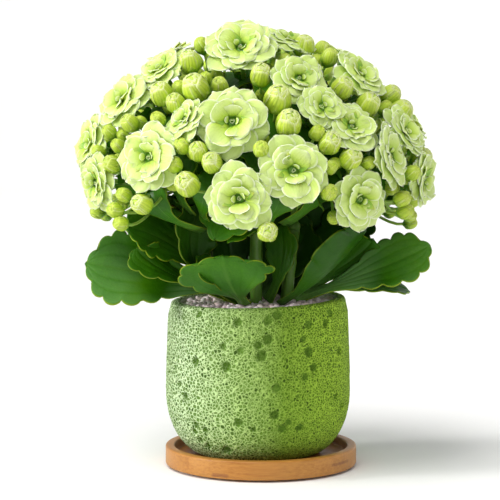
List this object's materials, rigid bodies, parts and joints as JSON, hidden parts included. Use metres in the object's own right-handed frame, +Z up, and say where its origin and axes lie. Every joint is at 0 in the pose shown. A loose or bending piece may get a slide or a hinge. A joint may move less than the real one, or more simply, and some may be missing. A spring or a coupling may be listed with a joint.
{
  "type": "potted kalanchoe",
  "caption": "Double-flowered kalanchoe with a dome of pale lime blooms and buds over scalloped leaves, in a porous green pot on a round bamboo saucer.",
  "frame": {"origin": "centre of the non-slip pad's underside, at the middle of the saucer, on the surface that the object stands on", "axes": "+Z up through the plant, front (the side with the most open blooms) towards -Y, +X to the right seen from the front"},
  "size_m": [0.1472, 0.1375, 0.1806],
  "materials": {
    "pad": "matte",
    "bamboo": "satin",
    "foamed_concrete": "matte",
    "potting_mix": "matte",
    "gravel": "matte",
    "stem": "satin",
    "leaf": "satin",
    "petal": "matte"
  },
  "bodies": {
    "root": {"bloom_01": "petal", "bloom_02": "petal", "bloom_03": "petal", "bloom_04": "petal", "bloom_05": "petal", "bloom_06": "petal", "bloom_07": "petal", "bloom_08": "petal", "bloom_09": "petal", "bloom_10": "petal", "bloom_11": "petal", "bloom_12": "petal", "bloom_13": "petal", "bloom_14": "petal", "bloom_15": "petal", "bloom_16": "petal", "bloom_17": "petal", "bloom_18": "petal", "bloom_19": "petal", "bloom_20": "petal", "bloom_21": "petal", "bloom_22": "petal", "bloom_23": "petal", "bloom_24": "petal", "bloom_25": "petal", "bloom_26": "petal", "bloom_27": "petal", "bloom_28": "petal", "bloom_29": "petal", "bloom_30": "petal", "gravel_top": "gravel", "leaf_01": "leaf", "leaf_02": "leaf", "leaf_03": "leaf", "leaf_04": "leaf", "leaf_05": "leaf", "leaf_06": "leaf", "leaf_07": "leaf", "leaf_08": "leaf", "leaf_09": "leaf", "leaf_10": "leaf", "leaf_11": "leaf", "leaf_12": "leaf", "leaf_13": "leaf", "leaf_14": "leaf", "leaf_15": "leaf", "leaf_16": "leaf", "leaf_17": "leaf", "leaf_18": "leaf", "leaf_19": "leaf", "non_slip_pad": "pad", "pot": "foamed_concrete", "potting_mix": "potting_mix", "saucer": "bamboo", "stalk_01": "stem", "stalk_02": "stem", "stalk_03": "stem", "stalk_04": "stem", "stalk_05": "stem"}
  },
  "joints": []
}
